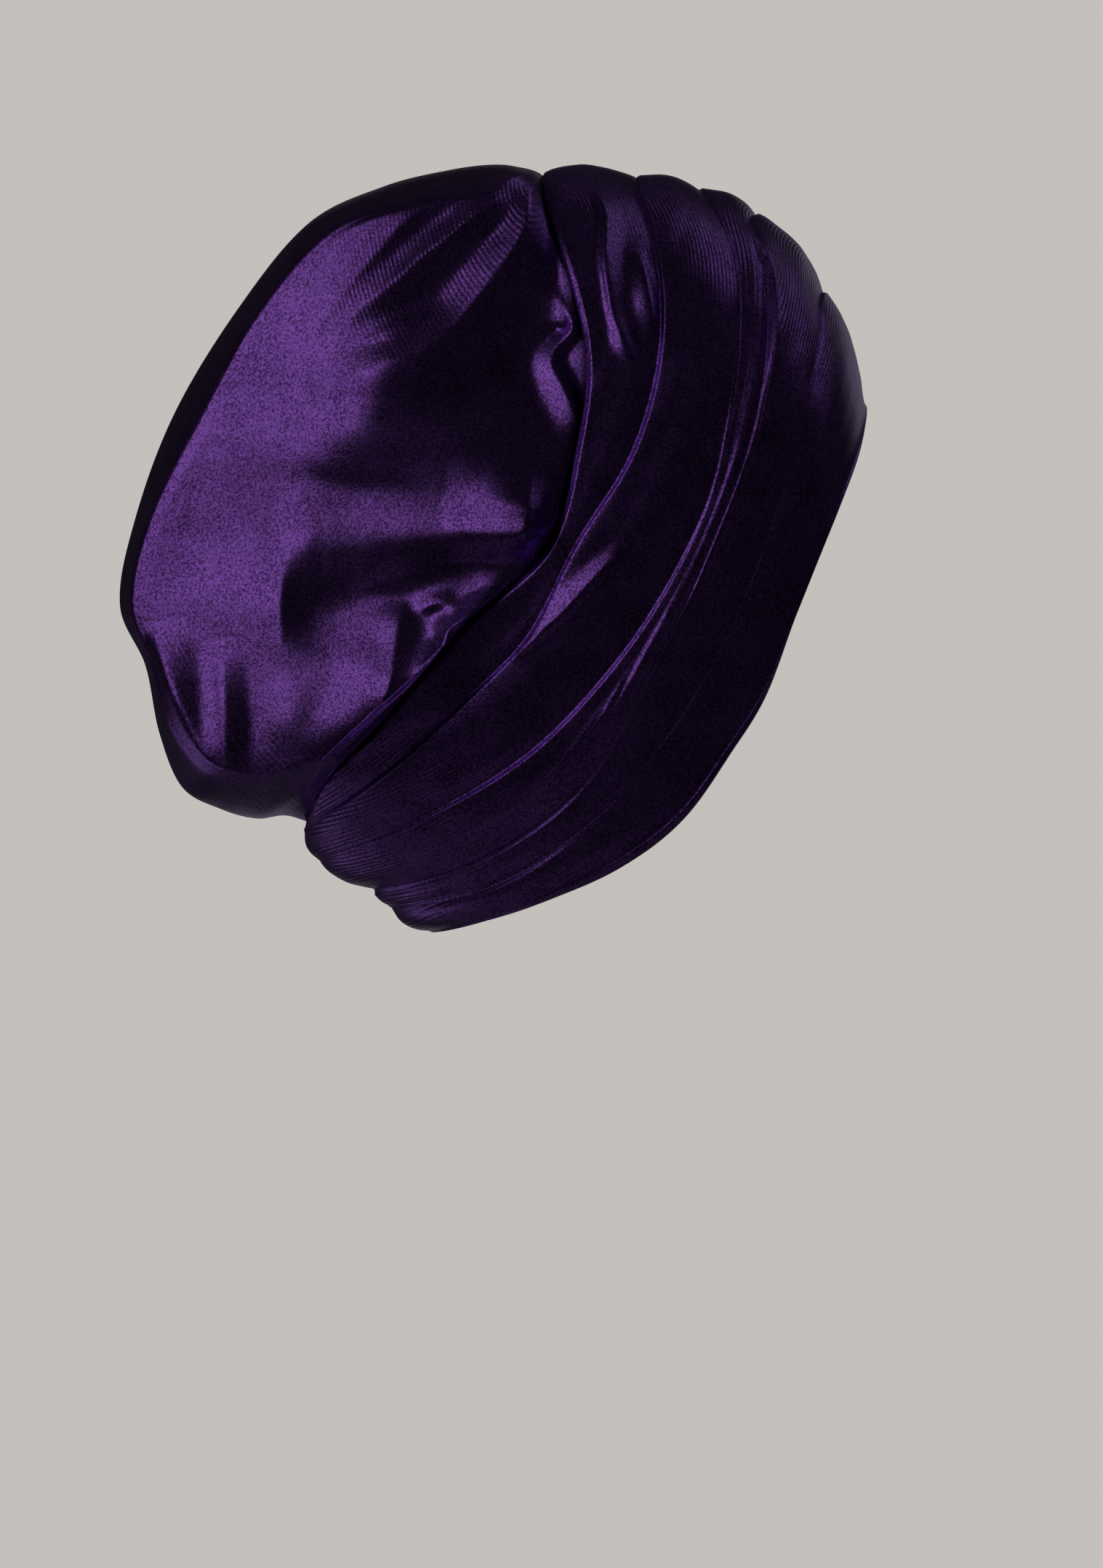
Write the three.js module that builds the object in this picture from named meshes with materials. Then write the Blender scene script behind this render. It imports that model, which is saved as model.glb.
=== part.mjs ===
// Slouch beanie of stretch velvet, in the form that it keeps on a head tilted a little back:
// a wide band draped in rolled folds, and a crown bag that is gathered at the top and slouches
// back and down. Millimetres, +Z up, +X forwards, +Y to the wearer's left. The origin is the
// middle of the head opening.

import * as THREE from 'three';

// ---- driving dimensions ----

const BAND_WALL = 2.4; // doubled velvet, between the folds
const CROWN_WALL = 2.2; // doubled velvet of the bag
const LAP_GAP = 0.65; // between the band and the crown margin under it
const EDGE_ROUND = 0.7; // how far the band's turned edges stand past their ring
const TUCK = 0.05; // how far the crown runs under the band, as a share of the band's height
const LIP = 0.045; // from a fold's crest to its valley, in the same shares
const FRONT_ROUND = 0.32; // how much fuller than an ellipse the rings are at the front
const NAPE_ROUND = 0.08; // and at the nape
const BAG_SPAN = 60; // side faces shorter than this carry shallower folds
const BULGE_LEAN = 0.85; // below 1 the side faces bulge more near the outer edge

const TURN_STEPS = 64; // facets round the head
const SIDE_STEPS = 10; // rows across each side face of the bag
const CROWN_PURPLE = 0x3a1a5a;
const BAND_PURPLE = 0x2c1446;

// How a fold falls from its valley to the next crest: the share of the way, and of the depth.
const FOLD_SLOPE = [
  { way: 0.45, depth: 0.5 },
  { way: 0.75, depth: 0.12 },
];
const CREST_LINING = 0.5; // share of a fold's depth that its doubled crest fills inside

// Rings of the band, from the rim to the top fold. From the side a ring is a chord from its front
// (or top) point to its nape point, with the ears' side hanging below it by the dip. A fullness of
// 2 hangs as a parabola, and a larger one as a squarer curve.
const RINGS = [
  { name: 'rim', at: 0.0, frontX: 72.5, frontZ: 84.0, napeX: -69.0, napeZ: -87.5,
    dip: 36.5, frontFull: 1.3, napeFull: 2.6, halfWidth: 78.5 },
  { name: 'brow', at: 0.2, frontX: 62.0, frontZ: 119.5, napeX: -79.5, napeZ: -84.0,
    dip: 39.5, frontFull: 1.9, napeFull: 3.0, halfWidth: 81.5 },
  { name: 'long', at: 0.4, frontX: 40.5, frontZ: 147.0, napeX: -86.5, napeZ: -77.5,
    dip: 45.5, frontFull: 2.5, napeFull: 4.0, halfWidth: 83.5 },
  { name: 'fine', at: 0.6, frontX: 21.0, frontZ: 157.0, napeX: -104.5, napeZ: -67.0,
    dip: 51.0, frontFull: 3.0, napeFull: 2.5, halfWidth: 84.0 },
  { name: 'bright', at: 0.8, frontX: 2.5, frontZ: 161.5, napeX: -110.5, napeZ: -59.5,
    dip: 37.5, frontFull: 3.0, napeFull: 2.2, halfWidth: 82.5 },
  { name: 'top', at: 1.0, frontX: -20.0, frontZ: 164.5, napeX: -113.0, napeZ: -53.5,
    dip: 38.5, frontFull: 2.1, napeFull: 1.4, halfWidth: 79.0 },
];

// Rolled folds of the band. Each is a crest along a ring, with a valley just above it that is this
// deep at the front, at the sides and at the nape.
const FOLDS = [
  { name: 'brow', front: 3.0, side: 0.8, nape: 1.0 },
  { name: 'long', front: 3.5, side: 2.8, nape: 3.0 },
  { name: 'fine', front: 2.2, side: 3.2, nape: 0.8 },
  { name: 'bright', front: 1.6, side: 4.5, nape: 1.4 },
];

// Stations along the crown's outer edge, from the top fold over the back to the nape: the edge
// itself, the half thickness and inset of its turned corner, and the bulge of the side face.
const STATIONS = [
  { at: 0.0, x: -20.0, z: 161.5, cornerY: 0.0, inset: 2.0, bulge: 0.0 },
  { at: 0.05, x: -33.0, z: 163.3, cornerY: 12.0, inset: 4.0, bulge: 0.8 },
  { at: 0.1, x: -47.0, z: 165.3, cornerY: 24.0, inset: 8.0, bulge: 3.0 },
  { at: 0.15, x: -64.0, z: 163.8, cornerY: 35.0, inset: 10.0, bulge: 6.5 },
  { at: 0.21, x: -86.0, z: 158.4, cornerY: 41.0, inset: 10.5, bulge: 8.5 },
  { at: 0.28, x: -111.0, z: 146.3, cornerY: 44.0, inset: 10.0, bulge: 6.0 },
  { at: 0.36, x: -134.5, z: 118.0, cornerY: 44.0, inset: 8.5, bulge: 10.5 },
  { at: 0.44, x: -155.5, z: 83.5, cornerY: 42.0, inset: 8.5, bulge: 12.0 },
  { at: 0.52, x: -168.5, z: 48.5, cornerY: 42.0, inset: 8.5, bulge: 12.0 },
  { at: 0.59, x: -173.5, z: 20.0, cornerY: 44.0, inset: 8.5, bulge: 11.5 },
  { at: 0.65, x: -165.0, z: 0.0, cornerY: 48.0, inset: 9.0, bulge: 12.5 },
  { at: 0.71, x: -160.5, z: -22.0, cornerY: 48.0, inset: 10.0, bulge: 11.0 },
  { at: 0.77, x: -153.0, z: -40.0, cornerY: 44.0, inset: 12.5, bulge: 7.5 },
  { at: 0.83, x: -140.0, z: -47.3, cornerY: 32.0, inset: 14.0, bulge: 3.4 },
  { at: 0.89, x: -128.5, z: -50.3, cornerY: 21.0, inset: 11.0, bulge: 0.5 },
  { at: 0.95, x: -119.0, z: -49.3, cornerY: 10.0, inset: 5.0, bulge: 0.0 },
  { at: 1.0, x: -111.0, z: -51.5, cornerY: 0.0, inset: 2.0, bulge: 0.0 },
];

// Folds and dents of the bag's side faces, as seen from the side: a line from one end to the
// other, bowed sideways at its middle, with its half width and its height (a dent's is negative).
const BAG_FOLDS = [
  { name: 'gather ridge', x1: -40, z1: 155, x2: -102, z2: 98, bow: 8, width: 11, height: 6 },
  { name: 'upper ridge', x1: -48, z1: 154, x2: -120, z2: 112, bow: 3, width: 7, height: 3 },
  { name: 'gather valley', x1: -45, z1: 148, x2: -110, z2: 104, bow: 4, width: 5, height: -3 },
  { name: 'big hollow', x1: -33, z1: 80, x2: -98, z2: 74, bow: 0, width: 17, height: -7 },
  { name: 'shelf ridge', x1: -34, z1: 54, x2: -86, z2: 47, bow: 0, width: 11, height: 4 },
  { name: 'low hollow', x1: -45, z1: 31, x2: -116, z2: 33, bow: 3, width: 12, height: -6 },
  { name: 'tuck hollow', x1: -69, z1: 20, x2: -83, z2: -8, bow: 0, width: 6, height: -4 },
];

// ---- shared helpers ----

const { clamp, lerp, smoothstep } = THREE.MathUtils;
const SHORT = 0.01; // a step along a surface, small beside its folds

// One column of a table at a place along it: a cubic through the rows, each with the slope
// between its neighbours.
function read(rows, key, at) {
  let i = 0;
  while (i < rows.length - 2 && at > rows[i + 1].at) i++;
  const slope = (row) => {
    const low = rows[Math.max(row - 1, 0)];
    const high = rows[Math.min(row + 1, rows.length - 1)];
    return (high[key] - low[key]) / (high.at - low.at);
  };
  const span = rows[i + 1].at - rows[i].at;
  const f = (at - rows[i].at) / span;
  const keep = (1 + 2 * f) * (1 - f) ** 2;
  return keep * rows[i][key] + (1 - keep) * rows[i + 1][key]
    + span * f * (1 - f) * ((1 - f) * slope(i) - f * slope(i + 1));
}

// A solid from closed loops of points that follow each other. The loops join in a ring, or the
// first and last are drawn together to an edge. Points that coincide are one vertex.
function solidFromLoops(loops, joined) {
  const positions = [];
  const known = new Map();
  const vertex = (point) => {
    const key = point.toArray().map((value) => Math.round(value * 1e4) || 0).join();
    if (!known.has(key)) {
      known.set(key, known.size);
      positions.push(...point.toArray());
    }
    return known.get(key);
  };
  const grid = loops.map((loop) => loop.map(vertex));
  const index = [];
  const triangle = (a, b, c) => {
    if (a !== b && b !== c && c !== a) index.push(a, b, c);
  };
  const last = joined ? grid.length : grid.length - 1;
  for (let i = 0; i < last; i++) {
    const here = grid[i];
    const next = grid[(i + 1) % grid.length];
    for (let j = 0; j < here.length; j++) {
      const k = (j + 1) % here.length;
      triangle(here[j], next[k], next[j]);
      triangle(here[j], here[k], next[k]);
    }
  }
  const geometry = new THREE.BufferGeometry();
  geometry.setAttribute('position', new THREE.Float32BufferAttribute(positions, 3));
  geometry.setIndex(index);
  geometry.computeVertexNormals();
  return geometry;
}

const steps = (count) => Array.from({ length: count }, (_, i) => i / (count - 1));

// ---- band ----

// A point of the smooth surface that the band's crests touch. The turn goes from the front (0)
// past the right ear to the nape (pi) and back past the left ear.
function bandSurface(turn, at) {
  const along = Math.cos(turn);
  const value = (key) => read(RINGS, key, at);
  const front = new THREE.Vector2(value('frontX'), value('frontZ'));
  const nape = new THREE.Vector2(value('napeX'), value('napeZ'));
  const full = lerp(value('napeFull'), value('frontFull'), smoothstep(along, -0.4, 0.4));
  const sag = value('dip') * (1 - Math.abs(along) ** full);
  const chord = nape.clone().sub(front).normalize();
  const side = front.lerp(nape, (1 - along) / 2);
  const round = 1 + (along > 0 ? FRONT_ROUND : NAPE_ROUND) * along * along;
  const width = value('halfWidth') * Math.sin(turn) * round;
  return new THREE.Vector3(side.x - chord.y * sag, -width, side.y + chord.x * sag);
}

// The outward direction of that surface, from two short steps on it.
function bandOutward(turn, at) {
  const up = bandSurface(turn, at + SHORT).sub(bandSurface(turn, at - SHORT));
  const round = bandSurface(turn + SHORT, at).sub(bandSurface(turn - SHORT, at));
  return up.cross(round).normalize();
}

// How deep a fold is at a turn: front, side and nape depths joined by cosines.
function foldDepth(fold, turn) {
  const along = Math.cos(turn);
  const end = along > 0 ? fold.front : fold.nape;
  return lerp(fold.side, end, along * along);
}

// The profile rows of the band from the rim to the top fold: where each row lies, how deep it is
// below the crests outside, and how much deeper the inside is than the outside and the wall.
function bandRows(turn) {
  const plain = (at) => ({ at, depth: 0, lining: 0 });
  const rows = [plain(0), plain(RINGS[1].at / 3), plain(RINGS[1].at * 2 / 3)];
  for (const fold of FOLDS) {
    const ring = RINGS.findIndex((row) => row.name === fold.name);
    const crest = RINGS[ring].at;
    const span = RINGS[ring + 1].at - crest;
    const depth = foldDepth(fold, turn);
    rows.push({ at: crest, depth: 0, lining: CREST_LINING * depth });
    rows.push({ at: crest + LIP, depth, lining: 0 });
    for (const slope of FOLD_SLOPE) {
      rows.push({ at: crest + slope.way * span, depth: slope.depth * depth, lining: 0 });
    }
  }
  return [...rows, plain(1)];
}

function bandPoint(turn, at, depth) {
  return bandSurface(turn, at).addScaledVector(bandOutward(turn, at), -depth);
}

// The rounded tip of a turned edge, just past the ring at the band's end.
function bandTip(turn, at) {
  const inside = at === 0 ? SHORT : 1 - SHORT;
  const past = bandSurface(turn, at).sub(bandSurface(turn, inside)).setLength(EDGE_ROUND);
  return bandPoint(turn, at, BAND_WALL / 2).add(past);
}

function bandGeometry() {
  const turns = steps(TURN_STEPS + 1).slice(0, -1).map((share) => share * 2 * Math.PI);
  const loops = turns.map((turn) => {
    const rows = bandRows(turn);
    const outside = rows.map((row) => bandPoint(turn, row.at, row.depth));
    const inside = rows.map((row) => bandPoint(turn, row.at, row.depth + row.lining + BAND_WALL));
    return [...outside, bandTip(turn, 1), ...inside.reverse(), bandTip(turn, 0)];
  });
  return solidFromLoops(loops, true);
}

// ---- crown ----

// Height of all folds of the bag at a place in the side view.
function bagFoldHeight(x, z) {
  let height = 0;
  for (const fold of BAG_FOLDS) {
    const chord = new THREE.Vector2(fold.x2 - fold.x1, fold.z2 - fold.z1);
    const length = chord.length();
    chord.normalize();
    const place = new THREE.Vector2(x - fold.x1, z - fold.z1);
    const reach = place.dot(chord) / length;
    const along = clamp(reach, 0, 1);
    const past = (reach - along) * length;
    const offset = chord.cross(place) - fold.bow * 4 * along * (1 - along);
    height += fold.height * Math.exp(-(offset ** 2 + past ** 2) / fold.width ** 2);
  }
  return height;
}

// A point of the crown's margin, one gap inside the band. It leaves the band at 1, and ends at the
// band's last row before that.
function crownMargin(turn, at) {
  const fold = at < 1 ? bandRows(turn).at(-2).depth : 0;
  return bandPoint(turn, at, BAND_WALL + LAP_GAP + fold);
}

// One side of the crown's section at a station, from its outer edge to its margin. The side is
// -1 for the wearer's right and 1 for the left. The section goes straight from the edge to the
// top fold in the side view. Its width grows as a square root up to the turned corner, and then
// in a shallow bulge. At both ends of the edge the section is drawn together where it leaves.
function crownSide(at, side) {
  const turn = side < 0 ? at * Math.PI : (2 - at) * Math.PI;
  const leave = crownMargin(turn, 1);
  const far = new THREE.Vector2(leave.x, leave.z);
  const ends = at === 0 || at === 1;
  const edge = ends ? far : new THREE.Vector2(read(STATIONS, 'x', at), read(STATIONS, 'z', at));
  const length = edge.distanceTo(far);
  const corner = ends ? 0.5 : Math.min(read(STATIONS, 'inset', at) / length, 0.5);
  const cornerY = ends ? 0 : read(STATIONS, 'cornerY', at);
  const places = [0, corner / 4];
  for (const share of steps(SIDE_STEPS)) places.push(lerp(corner, 1, share));
  const points = places.map((place) => {
    const seen = edge.clone().lerp(far, place);
    const share = Math.max(place - corner, 0) / (1 - corner);
    const swell = Math.max(Math.sin(Math.PI * share ** BULGE_LEAN), 0);
    const folds = bagFoldHeight(seen.x, seen.y) * Math.sqrt(swell);
    const width = cornerY * Math.sqrt(Math.min(place / corner, 1))
      + (Math.abs(leave.y) - cornerY) * share
      + read(STATIONS, 'bulge', at) * swell + folds * Math.min(length / BAG_SPAN, 1);
    return new THREE.Vector3(seen.x, side * width, seen.y);
  });
  return [...points, crownMargin(turn, 1 - TUCK)];
}

// The crown's outside, as loops from the right margin over the outer edge to the left one.
function crownOutside() {
  return steps(TURN_STEPS / 2 + 1).map((at) => {
    const right = crownSide(at, -1).reverse();
    return [...right, ...crownSide(at, 1).slice(1)];
  });
}

// The inside of a point of the crown: one wall in, square to the lines through its neighbours.
// The drawn-together ends and the margins are square to the band over them instead.
function crownInside(loops, row, place) {
  const loop = loops[row];
  const last = loop.length - 1;
  const at = row / (loops.length - 1);
  const inward = new THREE.Vector3();
  if (at === 0 || at === 1 || place === 0 || place === last) {
    const turn = place < last / 2 ? at * Math.PI : (2 - at) * Math.PI;
    inward.copy(bandOutward(turn, 1 - TUCK)).negate();
  } else {
    const on = loops[row + 1][place].clone().sub(loops[row - 1][place]);
    const over = loop[place + 1].clone().sub(loop[place - 1]);
    inward.copy(on.cross(over).normalize());
  }
  return loop[place].clone().addScaledVector(inward, CROWN_WALL);
}

function crownGeometry() {
  const outside = crownOutside();
  const loops = outside.map((loop, row) => {
    const inside = loop.map((_, place) => crownInside(outside, row, place));
    return [...loop, ...inside.reverse()];
  });
  return solidFromLoops(loops, false);
}

// ---- assembly ----

const beanie = new THREE.Group();

function add(name, geometry, color) {
  const velvet = new THREE.MeshStandardMaterial({ color, roughness: 0.6, metalness: 0 });
  const mesh = new THREE.Mesh(geometry, velvet);
  mesh.name = name;
  beanie.add(mesh);
}

add('band', bandGeometry(), BAND_PURPLE);
add('crown', crownGeometry(), CROWN_PURPLE);

export default beanie;
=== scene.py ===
"""Slouch beanie of stretch velvet: the draped band, the slouched crown and a plain stage."""

from functools import partial

import bpy
import numpy as np
from bpy.props import FloatProperty, FloatVectorProperty, IntProperty, PointerProperty
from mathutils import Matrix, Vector


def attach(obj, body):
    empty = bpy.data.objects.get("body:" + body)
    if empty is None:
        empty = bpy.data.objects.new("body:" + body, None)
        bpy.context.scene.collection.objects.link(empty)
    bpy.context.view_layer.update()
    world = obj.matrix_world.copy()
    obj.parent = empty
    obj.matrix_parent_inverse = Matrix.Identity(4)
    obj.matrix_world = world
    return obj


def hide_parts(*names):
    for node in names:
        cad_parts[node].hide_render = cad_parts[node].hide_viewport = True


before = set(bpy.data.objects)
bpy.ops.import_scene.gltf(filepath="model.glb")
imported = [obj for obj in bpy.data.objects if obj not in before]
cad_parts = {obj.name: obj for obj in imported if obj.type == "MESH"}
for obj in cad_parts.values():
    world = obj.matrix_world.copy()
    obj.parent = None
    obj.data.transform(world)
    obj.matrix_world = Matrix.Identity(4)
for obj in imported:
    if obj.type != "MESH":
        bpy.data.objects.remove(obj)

bl_info = {
    "name": "Slouch beanie",
    "version": (1, 0, 0),
    "blender": (4, 5, 0),
    "location": "3D View > Sidebar > Beanie",
    "description": "Builds a velvet slouch beanie from its draped surfaces",
    "category": "Object",
}

MM = 0.001

# ---- sizes, in millimetres where no other unit is given ----

SHORT = 0.004  # a step of turn, or of place between the rings, small beside the folds
FOOT = 0.06  # how softly a fold's section runs out at its foot

# The band.
FRONT_ROUND, NAPE_ROUND = 0.32, 0.08  # how much fuller than an ellipse it is at each end
CLIMB = 1.35  # the power by which a panel climbs from its valley to the next fold
FLANK_STEP, EDGE_STEP = 0.42, 0.5  # between the close rows just above and just below a fold
EDGE_ROWS, ROW_GAP = 4, 0.4  # how many are below a fold, and the gap to the even rows
LENGTH_STEPS = 60  # steps by which its length from rim to top is measured
LEFT_BAND_FOLDS = 0.25  # share of the small folds' height on the left
UNEVEN, DRAPE_SEED = 0.10, 5  # height of the slow drape, and the seed of its waves
EDGE_WIDTH, EDGE_DRAWN = 1.7, 0.3  # over which the top edge turns in, and its share at the gather
RIM_DROP, RIM_WIDTH = 0.9, 1.8  # how far the rim turns in, and over what width
BEAD, BEAD_AT, BEAD_HALF = 0.55, 1.6, 1.1  # the rim's bead: its height, place and half width
LEAN_BELOW, LEAN_ABOVE = 4.0, 1.2  # how far below and above its line a fold leans
CALM = 0.6  # share of the valleys' depth that shows inside
THICKER, FROM_RIM, FROM_TOP = 0.6, 6.0, 9.0  # added wall, and how far from the edges it is full
TOP_TIP, RIM_TIP = 0.55, 0.75  # how far the middle of a turned edge stands out
TURNED_LINING = 0.2  # how much of the lining's colour a turned edge has
RIB_MARGIN = 0.03  # share of a panel beside each fold without ribs
CREASED_FROM, CREASED_TO = 2.02, 2.8  # where fine creases run, in panels from the rim
CLOTH_RADIUS, PANEL_MAP = 83.0, 40.0  # of the head, and between two panels, on the cloth's map

# The crown.
BAND_LENGTH = 125.0  # of the band from its rim to place 1 between the rings
MARGIN_DRAWN, MARGIN_FREE = 3.4, 3.0  # the margin's depth inside the band, and more behind
TUCK = (6.5, 3.2)  # how far under the band's top edge the margin's rows are
TURNED_INSIDE = 7  # columns of the inner skin over the outer edge
INNER_CORNER, INNER_FACE = 0.8, 0.9  # share of the wall by which the inner skin is narrower
LEFT_HALF = 80.0  # the greatest half width of the left
LEFT_SWELL, LEFT_ROUND = 2.4, 0.6  # powers of the left's round section
LEFT_FOLDS, LEFT_SHIFT = 0.45, 7.0  # share of the folds' height on the left, and their shift
FADE_IN, FADE_OUT = 0.03, 0.025  # share of a section over which folds fade at its two ends
FADE_SHORT = 40.0  # the length under which a section's folds are lower
TUCK_SHADE_REACH = 8.0  # how far from the band the cloth is darkened with painted shade
GATHER = (-37.0, 158.0)  # where it is gathered, in the side view
GATHER_RADIUS, GATHER_TALL = 80.0, 0.65  # of the cloth's map round the gather, and its stretch
TUCK_SHADE_COLOUR = (0.01, 0.005, 0.02)  # painted shade: the near-black colour given to the cloth deep in a tuck

# The stage, in metres.
MIDDLE = (-0.05, 0.0, 0.05)
FLOOR_SIDES, FLOOR_RADIUS, FLOOR_LEVEL = 96, 1.1, -0.9
SENSOR = 36.0  # in millimetres
VIEW_DISTANCE, VIEW_HEIGHT, VIEW_X, VIEW_Z = 5.0, 0.51744, -0.0311, -0.0389

# The lights: name, setting of its power, place, size and colour.
LIGHTS = (
    ("window_light", "window", (-1.45, -1.05, 0.78), (1.05, 1.4), (1.0, 0.99, 0.97)),
    ("ceiling_light", "ceiling", (1.15, 0.5, 1.5), (1.5, 1.5), (0.97, 0.99, 1.0)),
    ("low_light", "low", (-1.05, 0.45, -0.75), (0.9, 0.9), (1.0, 0.99, 0.98)),
    ("far_light", "far", (0.35, 1.9, -0.1), (1.4, 1.4), (1.0, 0.99, 0.98)),
)

# ---- tables, in millimetres and degrees ----

# Rings of the band from the rim to the top fold, as the part's own source has them.
RINGS = {
    "at": (0, 0.2, 0.4, 0.6, 0.8, 1, 1.12),
    "front_x": (72.5, 62, 40.5, 21, 2.5, -20, -33.5),
    "front_z": (84, 119.5, 147, 157, 161.5, 164.5, 163.6),
    "nape_x": (-69, -79.5, -86.5, -104.5, -110.5, -113, -115.5),
    "nape_z": (-87.5, -84, -77.5, -67, -59.5, -53.5, -49.5),
    "dip": (36.5, 39.5, 45.5, 51, 37.5, 38.5, 34.9),
    "front_full": (1.3, 1.9, 2.5, 3, 3, 2.1, 1.8),
    "nape_full": (2.6, 3, 4, 2.5, 2.2, 1.4, 1.1),
    "half_width": (78.5, 81.5, 83.5, 84, 82.5, 79, 77.5),
}

# Where each fold of the band runs, as a place between the rings at every 15 degrees of turn from
# the front over the right ear to the nape.
TURNS = tuple(range(0, 181, 15))
LINES = {
    "rim": (0, -0.012, -0.022, -0.013, 0.004, 0.011, 0.003, -0.045, -0.038, -0.010, -0.018,
            -0.020, -0.005),
    "brow": (0.210, 0.235, 0.234, 0.262, 0.280, 0.288, 0.245, 0.225, 0.235, 0.290, 0.320, 0.330,
             0.335),
    "long": (0.410, 0.450, 0.438, 0.461, 0.492, 0.502, 0.473, 0.448, 0.436, 0.446, 0.443, 0.434,
             0.430),
    "fine": (0.615, 0.603, 0.583, 0.608, 0.611, 0.583, 0.579, 0.602, 0.613, 0.629, 0.640, 0.655,
             0.658),
    "bright": (0.825, 0.855, 0.830, 0.810, 0.796, 0.796, 0.840, 0.823, 0.864, 0.878, 0.900, 0.940,
               0.950),
    "top": (1.11, 1.13, 1.115, 1.075, 1.03, 1.016, 0.998, 1.066, 1.082, 1.088, 1.12, 1.06, 1),
}

# How deep the valley just above each fold is, and how much the panel over each line swells,
# every 30 degrees of turn.
WIDE_TURNS = tuple(range(0, 181, 30))
DEPTHS = {
    "brow": (2.2, 1, 0.7, 0.5, 0.5, 0.8, 0.8),
    "long": (2.6, 2.6, 2.4, 1.3, 1.5, 1.9, 2.6),
    "fine": (2, 0.5, 0.5, 1.5, 2, 1.3, 0.5),
    "bright": (1.8, 2.2, 2.4, 2.6, 2.8, 2, 0.8),
}
BULGES = {
    "rim": (1.5, 0.8, 0.5, 0.4, 0.5, 0.8, 1.2),
    "brow": (2.4, 1.2, 0.8, 0.6, 0.6, 0.8, 0.8),
    "long": (2.2, 1.2, 0.8, 0.8, 0.8, 1.2, 1.6),
    "fine": (2, 1, 0.8, 0.7, 0.4, 0.6, 1.4),
    "bright": (1.6, 0.6, 0.4, 0.4, 0.5, 0.4, 0.3),
}

# Stations along the crown's outer edge, from the top fold over the back to the nape, with their
# x and z in the side view. From each, a section runs over the side face to the band's top edge,
# which it meets at the leave turn. inset is how far along it the face's crease is, with its half
# width corner_y there.
STATIONS = {
    "at": (0, 0.02, 0.05, 0.1, 0.15, 0.21, 0.28, 0.36, 0.44, 0.52, 0.59, 0.65, 0.71, 0.77, 0.83,
           0.89, 0.95, 1),
    "x": (-33, -35.8, -41, -50, -64, -86, -111, -134.5, -155.5, -168.5, -173.5, -165, -160.5,
          -153, -140, -128.5, -119, -111),
    "z": (161, 163, 164.4, 165.4, 163.8, 158.4, 146.3, 118, 83.5, 48.5, 20, 0, -22, -40, -47.3,
          -50.3, -49.3, -51.5),
    "inset": (2, 3, 5, 9, 15, 11.8, 9.2, 8.3, 10.2, 6.4, 5, 2.8, 5.3, 11.5, 17.5, 27, 24, 4),
    "corner_y": (0, 14, 32, 47, 53, 51, 47, 46, 45, 43.5, 43.5, 47, 51.5, 57.5, 63, 67, 64, 0),
    "leave": (0, 5, 12, 25, 42, 56, 66, 75, 82, 88, 93, 97, 101, 104.5, 108, 113, 127, 180),
}

# The face's section: its half width is knee_y at the knee and hem_y at the hem. knee and hem are
# shares of the way from the crease to the band's top edge.
FACE = {
    "at": (0, 0.05, 0.1, 0.15, 0.21, 0.28, 0.36, 0.42, 0.455, 0.485, 0.525, 0.56, 0.59, 0.65,
           0.71, 0.77, 0.83, 0.89, 0.95, 1),
    "knee": (0.5, 0.5, 0.5, 0.5, 0.42, 0.36, 0.38, 0.40, 0.40, 0.42, 0.44, 0.45, 0.45, 0.5, 0.55,
             0.56, 0.55, 0.55, 0.5, 0.5),
    "knee_y": (0, 34, 49, 56, 58, 59.5, 65.5, 65, 63, 61, 61.2, 63.5, 66, 70.5, 72.5, 74, 75.5,
               76.5, 73, 0),
    "hem": (0.85, 0.85, 0.85, 0.85, 0.85, 0.86, 0.87, 0.89, 0.92, 0.95, 0.96, 0.92, 0.90, 0.93,
            0.95, 0.955, 0.955, 0.95, 0.92, 0.85),
    "hem_y": (0, 32, 46, 55, 60, 64, 70.5, 74.5, 78, 81.5, 84, 80, 77, 77.5, 78.2, 79, 79.6, 80.2,
              78.5, 0),
}

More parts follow.
